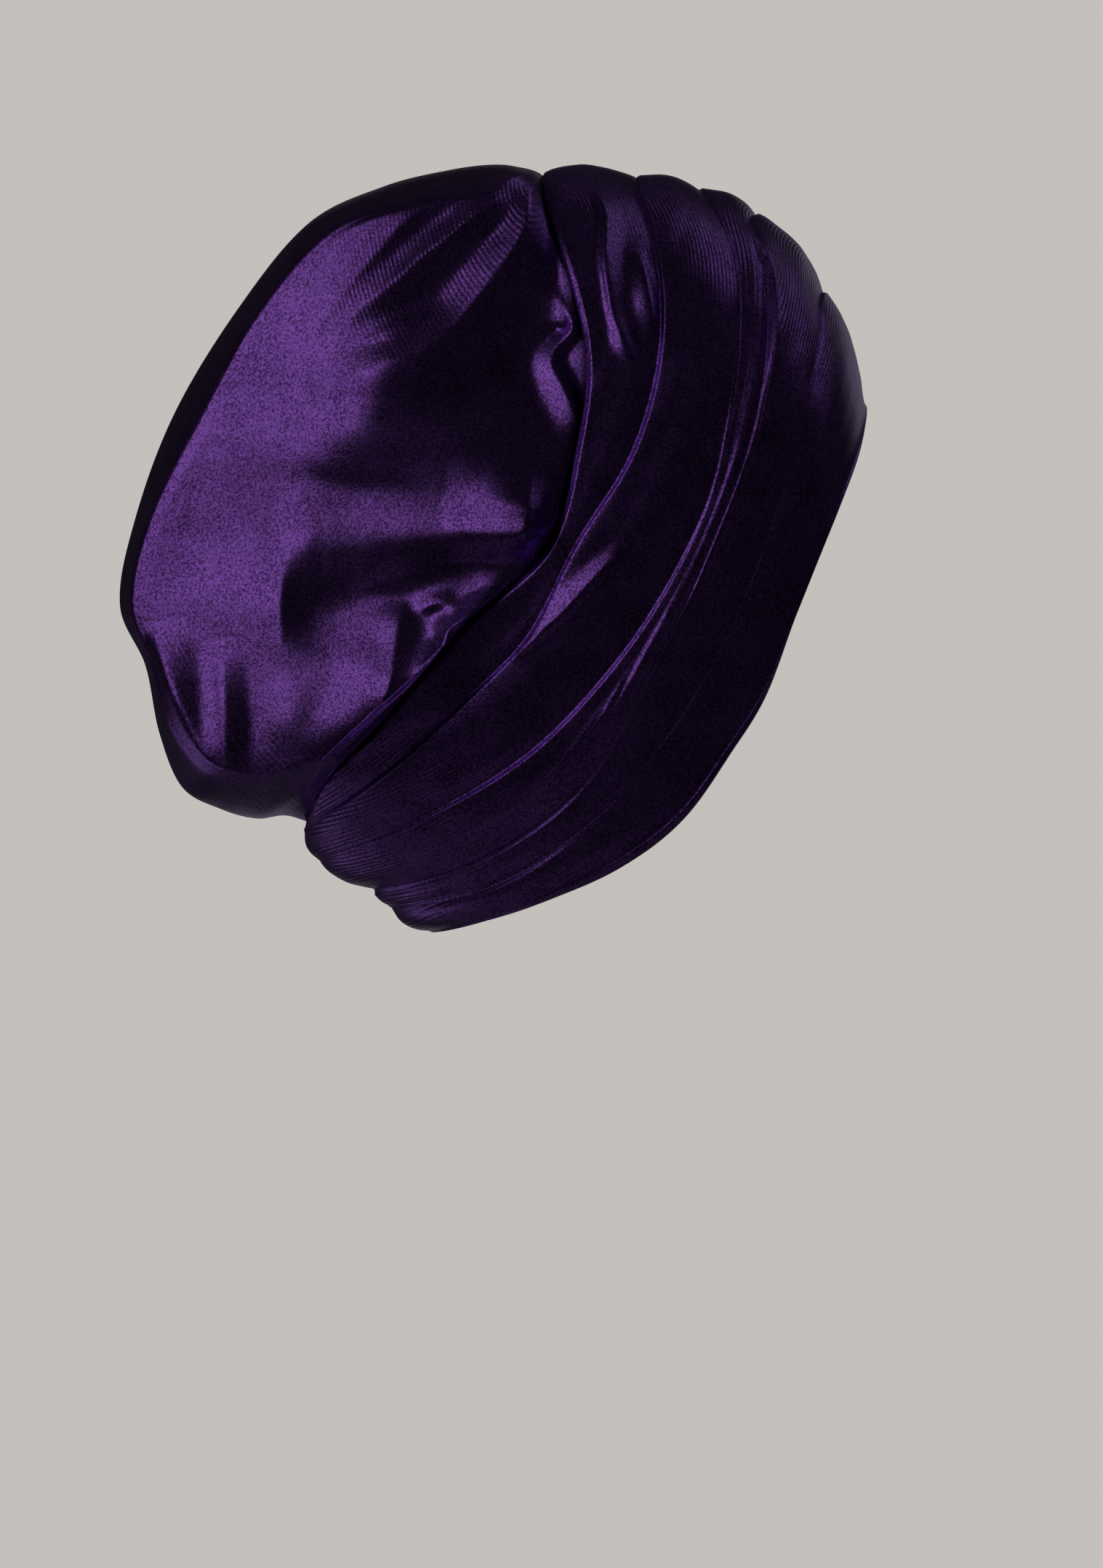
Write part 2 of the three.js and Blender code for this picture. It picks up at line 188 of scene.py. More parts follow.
# Folds of the crown's side face in the side view. The face rises to a fold over the lit width on
# the left of its path, and falls over the lee width on the right. Each row is a corner of the
# path: x, z, rise, lit and lee.
CROWN_FOLDS = (
    {"name": "first gather ridge", "crisp": 0.12, "rows": (
        (-114, 104, 0, 14, 6), (-107.2, 112.6, 1.4, 14, 6), (-98.6, 122.4, 2.4, 14, 6.5),
        (-91.2, 131, 3, 14, 7), (-83.8, 139.7, 3, 12, 7), (-77.6, 146, 2.6, 7, 6.5),
        (-70, 150, 1.4, 4, 5), (-61, 152.5, 0, 3, 4))},
    {"name": "second gather ridge", "crisp": 0.12, "rows": (
        (-105, 105, 0, 6, 7), (-96.1, 113.8, 1.8, 7, 8), (-88.7, 120, 3, 7, 8.5),
        (-80.1, 126.8, 3.9, 7, 9), (-72.7, 133.5, 4.3, 7, 9), (-65.3, 138.9, 4.4, 7, 8.5),
        (-57.9, 145.3, 3.8, 6, 7.5), (-50, 151, 2.4, 4.5, 6), (-45, 154.5, 0, 3, 4))},
    {"name": "big gather ridge", "crisp": 0.12, "rows": (
        (-110, 86, 0, 10, 14), (-96.1, 92.9, 1.8, 10, 16), (-86.3, 96.6, 3, 10, 18),
        (-72.7, 102.1, 4.4, 10, 18), (-62.9, 110.1, 5.2, 9.5, 17), (-55.5, 118.7, 5.6, 9.5, 15),
        (-48.1, 128.6, 5.4, 9, 13), (-41.5, 138.5, 5, 8, 9), (-38.5, 147.1, 4.4, 7, 5),
        (-38, 152.5, 3.4, 6, 3.5), (-39.5, 157.5, 0, 5, 3))},
    {"name": "crease in the big ridge", "crisp": 0.2, "rows": (
        (-96.4, 105, 0, 4, 3), (-80, 110.5, 1.2, 4, 3), (-66.5, 117.5, 0, 4, 3))},
    {"name": "scallop by the top fold", "crisp": 0.12, "rows": (
        (-21.5, 72, 0, 6, 3), (-23.4, 81, 2.6, 7, 3.2), (-27.6, 91, 3.8, 7.5, 4),
        (-31, 98, 3.6, 6, 4), (-29.6, 103, 2.8, 4, 3.6), (-26.6, 106.4, 2.6, 3, 3.5),
        (-24.4, 109.6, 2.8, 4, 3.5), (-26.4, 115, 2.8, 7, 4.5), (-31.5, 123, 0, 8, 5))},
    {"name": "swell of the back", "crisp": 0.3, "rows": (
        (-112, -50, 2.5, 44, 200), (-112, -20, 3, 44, 200), (-110, 0, 3, 44, 200),
        (-108, 22, 3, 44, 200), (-106, 45, 3, 46, 200), (-104, 68, 1.5, 46, 200),
        (-103, 88, 0, 44, 200))},
    {"name": "shelf", "crisp": 0.1, "rows": (
        (-122, 38, 0, 20, 14), (-116, 38, 0.6, 22, 14), (-106, 38.5, 1.2, 24, 15),
        (-92, 39.5, 1.3, 25, 16), (-78, 40.8, 1.3, 25, 16), (-65, 41.6, 1.3, 24, 14),
        (-55, 42, 1.4, 22, 12), (-46, 41.5, 1.6, 20, 9), (-38.5, 40, 1.8, 16, 6),
        (-34.5, 40, 0, 7, 5))},
    {"name": "swell over the end of the shelf", "crisp": 0.3, "rows": (
        (-66, 55, 0, 12, 18), (-58, 54, 1, 12, 17), (-50, 53, 2.2, 12, 16), (-42, 52, 3, 11, 14),
        (-36, 51, 2.6, 10, 12), (-32.5, 50, 0, 8, 8))},
    {"name": "fold over the shelf", "crisp": 0.3, "rows": (
        (-116, 80, 0, 26, 14), (-106, 79, 1.4, 28, 15), (-94, 77, 2.4, 30, 15),
        (-80, 75.5, 2.8, 30, 15), (-66, 74, 2.8, 28, 15), (-54, 72.5, 2.4, 24, 14),
        (-44, 71, 1.4, 18, 12), (-37, 70, 0, 10, 9))},
    {"name": "trough under the shelf", "crisp": 0.35, "rows": (
        (-119, 18, 0, 12, 10), (-113, 18, -3.6, 15, 12), (-106, 18, -5.8, 18, 14),
        (-95, 18.5, -6.8, 19, 17), (-80, 21.5, -5.4, 17, 22), (-67, 26.5, -3.6, 13, 20),
        (-55, 31.5, -2.4, 10, 14), (-47, 35, 0, 6, 8))},
    {"name": "faint ridge", "crisp": 0.2, "rows": (
        (-101, 20.5, 0, 5, 5), (-89.2, 25.4, 0.5, 5, 5), (-76.5, 29.4, 0.6, 5, 5),
        (-60, 34.5, 0, 4, 4))},
    {"name": "pit edge", "crisp": 0.06, "rows": (
        (-106, -35, 0.6, 14, 3.5), (-96.5, -26.5, 2.4, 15, 3), (-88, -16.5, 2.8, 16, 3.5),
        (-84, -7, 2.8, 17, 5.5), (-82.2, 4, 2.9, 20, 8), (-81, 13, 2.8, 18, 8),
        (-79, 21, 0, 10, 6))},
    {"name": "tip by the top fold", "crisp": 0.08, "rows": (
        (-66.5, 6, 0, 3, 2), (-64, 11.5, 3, 6, 2.4), (-58, 15.5, 4, 6.5, 2.6),
        (-51, 20.5, 3, 5, 2.6), (-45.5, 25.5, 0, 3, 2))},
    {"name": "dimple", "crisp": 0.2, "rows": (
        (-74, 15.5, 0, 3, 3), (-71.5, 19, 1.5, 4, 3), (-66.5, 20, 1.6, 4, 3),
        (-62.5, 17.5, 0, 3, 3))},
    {"name": "face edge over the band", "crisp": 0.06, "rows": (
        (-122, -37, 0, 8, 5), (-111, -34.8, 0.8, 10, 4), (-103.2, -30.8, 0.6, 12, 3.5),
        (-92.7, -21.6, 0.4, 12, 3), (-84.9, -12.5, 0.4, 10, 3), (-78, -6, 1.2, 8, 3),
        (-71.8, 0.6, 1.8, 6, 3), (-67, 6, 1.6, 4, 3), (-64, 10, 0, 3, 3))},
    {"name": "outer groove", "crisp": 0.12, "rows": (
        (-141.5, -36, 0, 4, 3), (-145, -29, 2.4, 5, 5.5), (-150, -18.2, 4.2, 7, 9),
        (-154.9, -7.8, 5, 8, 11), (-158.5, 2, 3.6, 8, 11), (-161, 13, 0, 8, 11))},
    {"name": "inner groove", "crisp": 0.12, "rows": (
        (-137.3, -35.5, 2.2, 7, 7), (-137.8, -26.7, 3.2, 7, 7.5), (-138, -14.9, 3, 7, 7.5),
        (-138.4, -2, 1.6, 7, 7), (-139, 8, 0, 6, 5))},
    {"name": "shallow groove", "crisp": 0.3, "rows": (
        (-115, -30, 0, 7, 7), (-116.5, -18, 0.8, 7, 7), (-115, -2, 0, 7, 7))},
)

# Small folds of the band's outside, in the same way.
BAND_FOLDS = (
    {"name": "pleat at the top fold", "crisp": 0.12, "rows": (
        (-19, 156.5, 0, 3, 2), (-16, 152.6, 1.4, 4, 1.6), (-14, 146.7, 2.2, 5, 1.6),
        (-14, 134, 2.4, 5, 1.6), (-13.4, 127.8, 2.2, 4.5, 1.8), (-11, 114, 1.8, 3.5, 2.2),
        (-8, 106, 2, 3, 3.6), (-5.4, 99.7, 1.4, 2.5, 3.6), (-3.5, 95, 0, 2, 3))},
    {"name": "wedge", "crisp": 0.1, "rows": (
        (-41, 3, 0.6, 1.5, 1.2), (-34.5, 9, 2, 3.5, 1.4), (-27.2, 15.8, 2.6, 5.5, 1.4),
        (-17.6, 26.2, 2.6, 6, 1.4), (-10, 34.5, 1.6, 4.5, 1.4), (-6.5, 38.5, 0, 3, 2))},
    {"name": "lip of the long fold", "crisp": 0.15, "rows": (
        (33, 144, 0, 3, 1.5), (37.5, 136, 2.3, 3.8, 1.5), (40.6, 125, 3.2, 4.4, 1.6),
        (41.6, 111, 3, 4.4, 1.6), (40.6, 98, 1.6, 3.8, 1.6), (38.5, 86, 0, 3, 1.5))},
    {"name": "lens", "crisp": 0.3, "rows": (
        (1.6, 105, 0, 3, 1.4), (1.6, 114, 2.2, 4.4, 1.6), (0.2, 124, 2.2, 4.4, 1.6),
        (-2.6, 137, 0, 3, 1.4))},
)

# Where the cloth is drawn tight and its ribs show: x, z, reach and level.
BAND_RIBS = ((-24, 160, 10, 1), (2, 160, 14, 0.8), (40, 143, 24, 0.9),
             (52, 116, 18, 0.7), (36, 96, 16, 0.4), (-112, -58, 30, 1),
             (-88, -74, 26, 0.7), (-80, -44, 22, 0.5))
CROWN_RIBS = ((-44, 153, 11, 0.7), (-62, 138, 22, 0.3), (-84, 124, 24, 0.25),
              (-112, 124, 22, 0.15), (-124, -40, 9, 0.8), (-155, 12, 12, 0.15))

# How strongly fine creases run along the panel over the long fold, every 30 degrees of turn.
CREASED = (0.2, 0.6, 1, 1, 0.9, 0.5, 0.4)


# ---- fabric maths ----


def along(table, key, at):
    """One column of a table at places along it: a cubic through the rows, each with the slope
    between its neighbours."""
    rows = np.asarray(table["at"], float)
    value = np.asarray(table[key], float)
    low = np.maximum(np.arange(rows.size) - 1, 0)
    high = np.minimum(np.arange(rows.size) + 1, rows.size - 1)
    slope = (value[high] - value[low]) / (rows[high] - rows[low])
    i = np.clip(np.searchsorted(rows, at, side="left") - 1, 0, rows.size - 2)
    span = rows[i + 1] - rows[i]
    f = (at - rows[i]) / span
    keep = (1 + 2 * f) * (1 - f) ** 2
    return (keep * value[i] + (1 - keep) * value[i + 1]
            + span * f * (1 - f) * ((1 - f) * slope[i] - f * slope[i + 1]))


def smooth(t):
    """0 below 0, 1 above 1, and an S curve of even ends between them."""
    t = np.clip(t, 0.0, 1.0)
    return t * t * (3 - 2 * t)


def round_turn(turns, values, turn):
    """A value given from the front to the nape, at any turn, the same on both sides: a cubic
    through the given turns."""
    side = np.degrees(np.arccos(np.clip(np.cos(turn), -1.0, 1.0)))
    return along({"at": turns, "v": values}, "v", side)


def band_surface(turn, at):
    """The smooth surface that the band's folds touch. In the side view a ring is a chord from
    front to nape, hung below it by the dip times one less a power of the cosine of the turn.
    Across, it is the half width times the sine."""
    turn, at = np.broadcast_arrays(turn, at)
    cosine = np.cos(turn)
    front = np.stack([along(RINGS, "front_x", at), along(RINGS, "front_z", at)], -1)
    nape = np.stack([along(RINGS, "nape_x", at), along(RINGS, "nape_z", at)], -1)
    back_full, front_full = along(RINGS, "nape_full", at), along(RINGS, "front_full", at)
    full = back_full + (front_full - back_full) * smooth((cosine + 0.4) / 0.8)
    sag = along(RINGS, "dip", at) * (1 - np.abs(cosine) ** full)
    chord = nape - front
    side = front + chord * ((1 - cosine) / 2)[..., None]
    chord = chord / np.linalg.norm(chord, axis=-1, keepdims=True)
    rounding = 1 + np.where(cosine > 0, FRONT_ROUND, NAPE_ROUND) * cosine ** 2
    width = along(RINGS, "half_width", at) * np.sin(turn) * rounding
    return np.stack([side[..., 0] - chord[..., 1] * sag, -width,
                     side[..., 1] + chord[..., 0] * sag], -1)


def unit(vectors):
    """Vectors divided by their lengths."""
    return vectors / np.maximum(np.linalg.norm(vectors, axis=-1, keepdims=True), 1e-9)


def band_frame(turn, at):
    """The surface with its unit directions up the band and outward, from short steps on it."""
    up = unit(band_surface(turn, at + SHORT) - band_surface(turn, at - SHORT))
    round_it = unit(band_surface(turn + SHORT, at) - band_surface(turn - SHORT, at))
    return band_surface(turn, at), up, unit(np.cross(up, round_it))


def crest(t, crisp):
    """A fold's section: 1 at its crest and an even slope down to 0 one width away, rounded a
    little at the crest, by crisp, and more at the foot."""
    fall = 1 - np.sqrt(t * t + crisp * crisp) + crisp
    return (fall + np.sqrt(fall * fall + FOOT)) / (1 + np.sqrt(1 + FOOT))


def fold_points(rows, count=41):
    """A fold's corners as a smooth run of points with their rise and widths: a cubic through the
    rows by length."""
    corners = np.asarray(rows, float)
    steps = np.hypot(np.diff(corners[:, 0]), np.diff(corners[:, 1]))
    places = np.concatenate([[0.0], np.cumsum(steps)]) / steps.sum()
    share = np.linspace(0, 1, count)
    return np.stack([along({"at": places, "v": corners[:, k]}, "v", share)
                     for k in range(corners.shape[1])], -1)


def fold_height(fold, x, z):
    """The height of a fold at places in the side view: its rise at the nearest point of its path
    times its crest's section, over the lit width on the left and the lee width on the right."""
    points = fold_points(fold["rows"])
    away, left, size = np.full(x.shape, 1e9), np.ones(x.shape, bool), np.zeros((*x.shape, 3))
    for a, b in zip(points[:-1], points[1:]):
        step = b[:2] - a[:2]
        dx, dz = x - a[0], z - a[1]
        f = np.clip((dx * step[0] + dz * step[1]) / (step @ step), 0, 1)
        far = np.hypot(dx - f * step[0], dz - f * step[1])
        near = far < away
        away = np.where(near, far, away)
        left = np.where(near, step[0] * dz - step[1] * dx > 0, left)
        size = np.where(near[..., None], a[2:] + (b[2:] - a[2:]) * f[..., None], size)
    width = np.where(left, size[..., 1], size[..., 2])
    return size[..., 0] * crest(away / width, fold["crisp"])


def folds_height(folds, x, z):
    """The height of all the folds at places in the side view."""
    return sum(fold_height(fold, x, z) for fold in folds)


def drift(seed, a, b, waves, a_scale, b_scale):
    """Slow uneven drape: a sum of sine waves of seeded direction and phase, from -1 to 1."""
    rng = np.random.default_rng(seed)
    total = np.zeros(np.broadcast(a, b).shape)
    for _ in range(waves):
        ka, kb, start = rng.normal() * a_scale, rng.normal() * b_scale, rng.uniform(0, 6.283)
        total += np.sin(ka * a + kb * b + start)
    return total / np.sqrt(waves)


# ---- mesh helpers ----


def grid_faces(index, joined):
    """Four entries of an index grid of closed loops for each face between two loops."""
    after = np.roll(index, -1, axis=0)
    if not joined:
        index, after = index[:-1], after[:-1]
    return np.stack([index, np.roll(index, -1, axis=1), np.roll(after, -1, axis=1), after],
                    -1).reshape(-1, 4)


def closed_mesh(name, points, joined, uv, masks):
    """A mesh from a grid of closed loops of points in millimetres. Rows follow each other, and
    join in a ring where asked. Points that coincide are made one, so faces of no width go and
    faces with one short side are triangles."""
    rows, cols = points.shape[:2]
    flat = points.reshape(-1, 3)
    rounded = np.round(flat, 4) + 0.0  # which also makes -0.0 the same as 0.0
    _, first, ids = np.unique(rounded, axis=0, return_index=True, return_inverse=True)
    quads = grid_faces(ids.reshape(rows, cols), joined)
    corners = grid_faces(np.arange(rows * cols).reshape(rows, cols), joined)
    same = quads == np.roll(quads, -1, axis=1)
    whole, one = same.sum(1) == 0, same.sum(1) == 1
    faces, face_corners = ([grid[whole], grid[one][~same[one]].reshape(-1, 3)]
                           for grid in (quads, corners))
    sizes = np.repeat([4, 3], [len(group) for group in faces])
    loops = np.concatenate([group.ravel() for group in faces])
    picked = np.concatenate([group.ravel() for group in face_corners])

    mesh = bpy.data.meshes.new(name)
    mesh.vertices.add(len(first))
    mesh.vertices.foreach_set("co", (flat[first] * MM).astype(np.float32).ravel())
    mesh.loops.add(len(loops))
    mesh.loops.foreach_set("vertex_index", loops.astype(np.int32))
    mesh.polygons.add(len(sizes))
    starts = np.concatenate([[0], np.cumsum(sizes)[:-1]])
    mesh.polygons.foreach_set("loop_start", starts.astype(np.int32))
    mesh.polygons.foreach_set("use_smooth", np.ones(len(sizes), bool))
    mesh.update(calc_edges=True)
    layer = mesh.uv_layers.new(name="cloth")
    layer.data.foreach_set("uv", uv.reshape(-1, 2)[picked].astype(np.float32).ravel())
    for mask, values in masks.items():
        attribute = mesh.attributes.new(mask, "FLOAT", "POINT")
        attribute.data.foreach_set("value", values.reshape(-1)[first].astype(np.float32))
    mesh.validate()
    made = bpy.data.objects.new(name, mesh)
    bpy.context.scene.collection.objects.link(made)
    return made


# ---- band ----


def line_at(name, turn):
    """The place between the rings of one of the band's lines."""
    return round_turn(TURNS, LINES[name], turn)


def band_rows(settings):
    """Rows across the band. Each panel between two folds has close rows just above its fold,
    even rows up its middle and close rows at the next fold. Given as steps in millimetres from
    the panel's ends or as shares of its middle."""
    low = np.arange(settings.flank_rows) * FLANK_STEP
    high = np.arange(EDGE_ROWS)[::-1] * EDGE_STEP + EDGE_STEP
    middle = np.linspace(0, 1, settings.panel_rows + 2)[1:-1]
    return low, middle, high


def band_places(turn, settings):
    """The place between the rings of every row at every turn, and its distance up the cloth from
    the rim and from each fold, in millimetres."""
    names = list(LINES)
    lines = np.stack([line_at(name, turn) for name in names], -1)
    ats = lines[:, :1] + (lines[:, -1:] - lines[:, :1]) * np.linspace(0, 1, LENGTH_STEPS + 1)
    run = band_surface(turn[:, None], ats)
    length = np.concatenate([np.zeros((len(turn), 1)),
                             np.cumsum(np.linalg.norm(np.diff(run, axis=1), axis=-1), axis=1)], 1)
    fold_length = np.stack([np.interp(lines[i], ats[i], length[i]) for i in range(len(turn))])
    low, middle, high = band_rows(settings)
    pieces = []
    for k in range(len(names) - 1):
        start, stop = fold_length[:, k:k + 1], fold_length[:, k + 1:k + 2]
        a, b = start + low[-1] + ROW_GAP, stop - high[0] - ROW_GAP
        pieces += [start + low, a + (b - a) * middle, stop - high]
    pieces.append(fold_length[:, -1:])
    distance = np.concatenate(pieces, 1)
    at = np.stack([np.interp(distance[i], length[i], ats[i]) for i in range(len(turn))])
    return at, distance, fold_length


def band_height(turn, distance, fold_length, flank):
    """Height of the folded cloth over the smooth surface. Above each fold it drops within the
    flank's width to the valley, and climbs back by a power of the way to the next fold, with a
    shallow bulge across the panel."""
    names = list(LINES)
    height = np.zeros(distance.shape)
    for k, name in enumerate(names[:-1]):
        start, stop = fold_length[:, k:k + 1], fold_length[:, k + 1:k + 2]
        way = np.clip((distance - start) / (stop - start), 0, 1)
        inside = (distance >= start) & (distance < stop)
        drop = 0.0
        if name in DEPTHS:
            depth = round_turn(WIDE_TURNS, DEPTHS[name], turn)[:, None]
            drop = depth * smooth((distance - start) / flank) * (1 - way) ** CLIMB
        bulge = round_turn(WIDE_TURNS, BULGES[name], turn)[:, None] * np.sin(np.pi * way)
        height = np.where(inside, bulge - drop, height)
    return height


def behind_gather(turn):
    """0 round the front, where the cloth is gathered, rising to 1 at the temples."""
    return smooth((0.9 - np.cos(turn)) / 0.5)


def outside_height(turn, distance, fold_length, surface, settings):
    """Height of the band's outer skin: the folded cloth, its small folds, which are weaker on the
    left, its slow drape, the turned-in top edge, and the rim with a bead over it."""
    on_right = smooth(0.5 + np.sin(turn) * 4)[:, None]
    height = band_height(turn, distance, fold_length, settings.flank)
    height += (folds_height(BAND_FOLDS, surface[..., 0], surface[..., 2])
               * (LEFT_BAND_FOLDS + (1 - LEFT_BAND_FOLDS) * on_right))
    height += UNEVEN * drift(DRAPE_SEED, turn[:, None], distance, waves=14, a_scale=2.2,
                             b_scale=0.5)
    drawn = EDGE_DRAWN + (1 - EDGE_DRAWN) * behind_gather(turn)[:, None]
    height -= settings.edge_drop * drawn * smooth(1 - (fold_length[:, -1:] - distance) / EDGE_WIDTH)
    height -= RIM_DROP * smooth(1 - distance / RIM_WIDTH)
    return height + BEAD * crest((distance - BEAD_AT) / BEAD_HALF, 0.2)


def fold_lean(distance, fold_length):
    """How much the cloth leans up over each fold: bell curves that are wider below its line."""
    gaps = (distance - fold_length[:, k:k + 1] for k in range(1, len(LINES) - 1))
    return sum(np.exp(-(gap / np.where(gap < 0, LEAN_BELOW, LEAN_ABOVE)) ** 2) for gap in gaps)


def band_cloth_map(turn, distance, fold_length, columns):
    """Where each point lies on the cloth, in metres: its length round the head, and its length
    above the fold below it, with a gap between panels. Also its place in panels from the rim."""
    panel, above = np.zeros(distance.shape), distance
    for k in range(len(LINES) - 1):
        start, stop = fold_length[:, k:k + 1], fold_length[:, k + 1:k + 2]
        panel += np.clip((distance - start) / (stop - start), 0, 1)
        above = np.where(distance >= start, distance - start + PANEL_MAP * k, above)
    panel, above = (np.concatenate([v[:, c] for c in columns], 1) for v in (panel, above))
    around = np.broadcast_to(turn[:, None] * CLOTH_RADIUS, above.shape)
    return panel, np.stack([around, above], -1) * MM


def make_band(settings):
    """The band as one closed skin: folded outside, rounded top edge, calm inside and rounded rim,
    carried round the head by the turn."""
    near = np.linspace(0, np.pi, settings.near_steps + 1)
    far = np.linspace(np.pi, 2 * np.pi, settings.far_steps + 1)[1:-1]
    turn = np.concatenate([near, far])
    at, distance, fold_length = band_places(turn, settings)
    surface, up, outward = band_frame(turn[:, None], at)
    height = outside_height(turn, distance, fold_length, surface, settings)
    outside = surface + outward * height[..., None]
    outside += up * (settings.lean * fold_lean(distance, fold_length))[..., None]

    pick = np.unique(np.linspace(0, at.shape[1] - 1, settings.inside_rows).round().astype(int))
    from_rim, from_top = distance[:, pick], fold_length[:, -1:] - distance[:, pick]
    wall = settings.wall + THICKER * smooth(from_rim / FROM_RIM) * smooth(from_top / FROM_TOP)
    calm = np.minimum(CALM * height[:, pick], 0.0)
    inside = surface[:, pick] + outward[:, pick] * (calm - wall)[..., None]
    top_tip = (outside[:, -1:] + inside[:, -1:]) / 2 + up[:, -1:] * TOP_TIP
    rim_tip = (outside[:, :1] + inside[:, :1]) / 2 - up[:, :1] * RIM_TIP
    loops = np.concatenate([outside, top_tip, inside[:, ::-1], rim_tip], 1)

    tip = np.full((turn.size, 1), TURNED_LINING)
    lining = np.concatenate([np.zeros(outside.shape[:2]), tip, np.ones(inside.shape[:2]), tip], 1)
    columns = (np.s_[:], np.s_[-1:], pick[::-1], np.s_[:1])
    panel, cloth_map = band_cloth_map(turn, distance, fold_length, columns)
    off_fold = 1 - np.exp(-((panel - panel.round()) / RIB_MARGIN) ** 2)
    over_long_fold = smooth((panel - CREASED_FROM) / 0.1) * smooth((CREASED_TO - panel) / 0.3)
    return closed_mesh("band_cloth", loops, True, cloth_map, {
        "lining": lining, "wale": spot_mask(loops, BAND_RIBS) * off_fold,
        "creased": over_long_fold * round_turn(WIDE_TURNS, CREASED, turn)[:, None]})


def spot_mask(points, spots):
    """Where ribs show: the most of the spots' round bell curves in the side view."""
    x, z = points[..., 0], points[..., 2]
    bells = [level * np.exp(-((x - sx) ** 2 + (z - sz) ** 2) / reach ** 2)
             for sx, sz, reach, level in spots]
    return np.maximum.reduce(bells)


# ---- crown ----


def crown_margin(turn, under=0.0, depth=0.0):
    """The crown's margin inside the band, a length under its top edge and a depth further in.
    Near the gather it is drawn up close, and round the ears it hangs free."""
    surface, _, outward = band_frame(turn, line_at("top", turn) - under / BAND_LENGTH)
    inset = MARGIN_DRAWN + MARGIN_FREE * behind_gather(turn)
    return surface - outward * (inset + depth)[:, None]


def bent(way, corners, rounding):
    """Straight from corner to corner of a profile, each a place and a value, averaged over a
    short stretch of the way so that the corners are round."""
    spans = list(zip(corners[:-1], corners[1:]))
    offsets = np.linspace(-rounding, rounding, 9)
    total = 0.0
    for offset in offsets:
        at, height = way + offset, corners[0][1]
        for k, ((a, low), (b, high)) in enumerate(spans):
            start = -np.inf if k == 0 else a
            stop = np.inf if k == len(spans) - 1 else b
            run = np.clip(at, start, stop) - np.clip(a, start, stop)
            height = height + (high - low) / (b - a) * run
        total = total + height
    return total / offsets.size


def right_width(places, way, corner, ends, face, rounding):
    """Half width of the crown's right: a square root up to the turned corner, then straight by
    the face's knee and hem to the band, with round bends."""
    corner_y, leave_y = ends
    knee, knee_y, hem, hem_y = face
    strip_y = corner_y * np.sqrt(np.minimum(places / corner, 1))
    face_y = bent(way, ((0, corner_y), (knee, knee_y), (hem, hem_y), (1, leave_y)), rounding)
    return np.where(places < corner, strip_y, face_y)


def left_width(places, leave_y, hem, hem_y):
    """Half width of the crown's left: a plain round swell up to the hem, like a quarter of an
    ellipse, then an S curve to the band."""
    hem_y = np.minimum(hem_y, LEFT_HALF)
    swollen = 1 - (1 - np.minimum(places / hem, 1)) ** LEFT_SWELL
    return (hem_y * swollen ** LEFT_ROUND
            + (leave_y - hem_y) * smooth((places - hem) / (1 - hem)))


def crown_side(share, settings, columns, side, depth):
    """One side of the crown, -1 for the right and 1 for the left, with its margin's rows and how
    much painted shade each point gets by the tuck. A section goes straight in the side view
    from the outer edge to the band's top edge, and across it is the side's half width with the
    folds added.
    depth is how far inside the outer skin it is."""
    leave_turn = np.radians(along(STATIONS, "leave", share))
    turn = leave_turn if side < 0 else 2 * np.pi - leave_turn
    leave = crown_margin(turn)
    end = leave[:, [0, 2]]
    edge = np.stack([along(STATIONS, "x", share), along(STATIONS, "z", share)], -1)
    edge[[0, -1]] = end[[0, -1]]  # the outer edge starts and stops on the margin
    length = np.maximum(np.linalg.norm(edge - end, axis=1), 1e-6)[:, None]
    edge = edge + (end - edge) * np.minimum(depth / length, 0.5)
    corner = np.minimum(along(STATIONS, "inset", share)[:, None] / length, 0.5)
    corner_y = np.maximum(along(STATIONS, "corner_y", share) - depth * INNER_CORNER, 0.0)[:, None]
    leave_y = np.abs(leave[:, 1:2])
    turned, face_columns = columns
    places = np.concatenate([corner * turned ** 2, corner + (1 - corner) * face_columns], 1)
    way = np.clip((places - corner) / (1 - corner), 0, 1)
    face = [along(FACE, key, share)[:, None] for key in ("knee", "knee_y", "hem", "hem_y")]
    if side < 0:
        width = right_width(places, way, corner, (corner_y, leave_y), face, settings.knee_round)
        strength, shift = 1.0, 0.0
    else:
        width = left_width(places, leave_y, *face[2:])
        strength, shift = LEFT_FOLDS, LEFT_SHIFT
    seen = edge[:, None] + (end - edge)[:, None] * places[..., None]
    fade = smooth(way / FADE_IN) * smooth((1 - way) / FADE_OUT) * np.minimum(length / FADE_SHORT, 1)
    width += strength * fade * folds_height(CROWN_FOLDS, seen[..., 0] + shift, seen[..., 1])
    width -= INNER_FACE * depth * smooth(way / 0.1)
    # painted shade: 1 where the section meets the band, falling to 0 a few millimetres out, to
    # darken the cloth in the tuck
    deep = smooth(1 - (1 - way) * length / TUCK_SHADE_REACH)
    tuck = np.stack([crown_margin(turn, under, depth) for under in TUCK], 1)
    return np.stack([seen[..., 0], side * width, seen[..., 1]], -1), tuck, deep


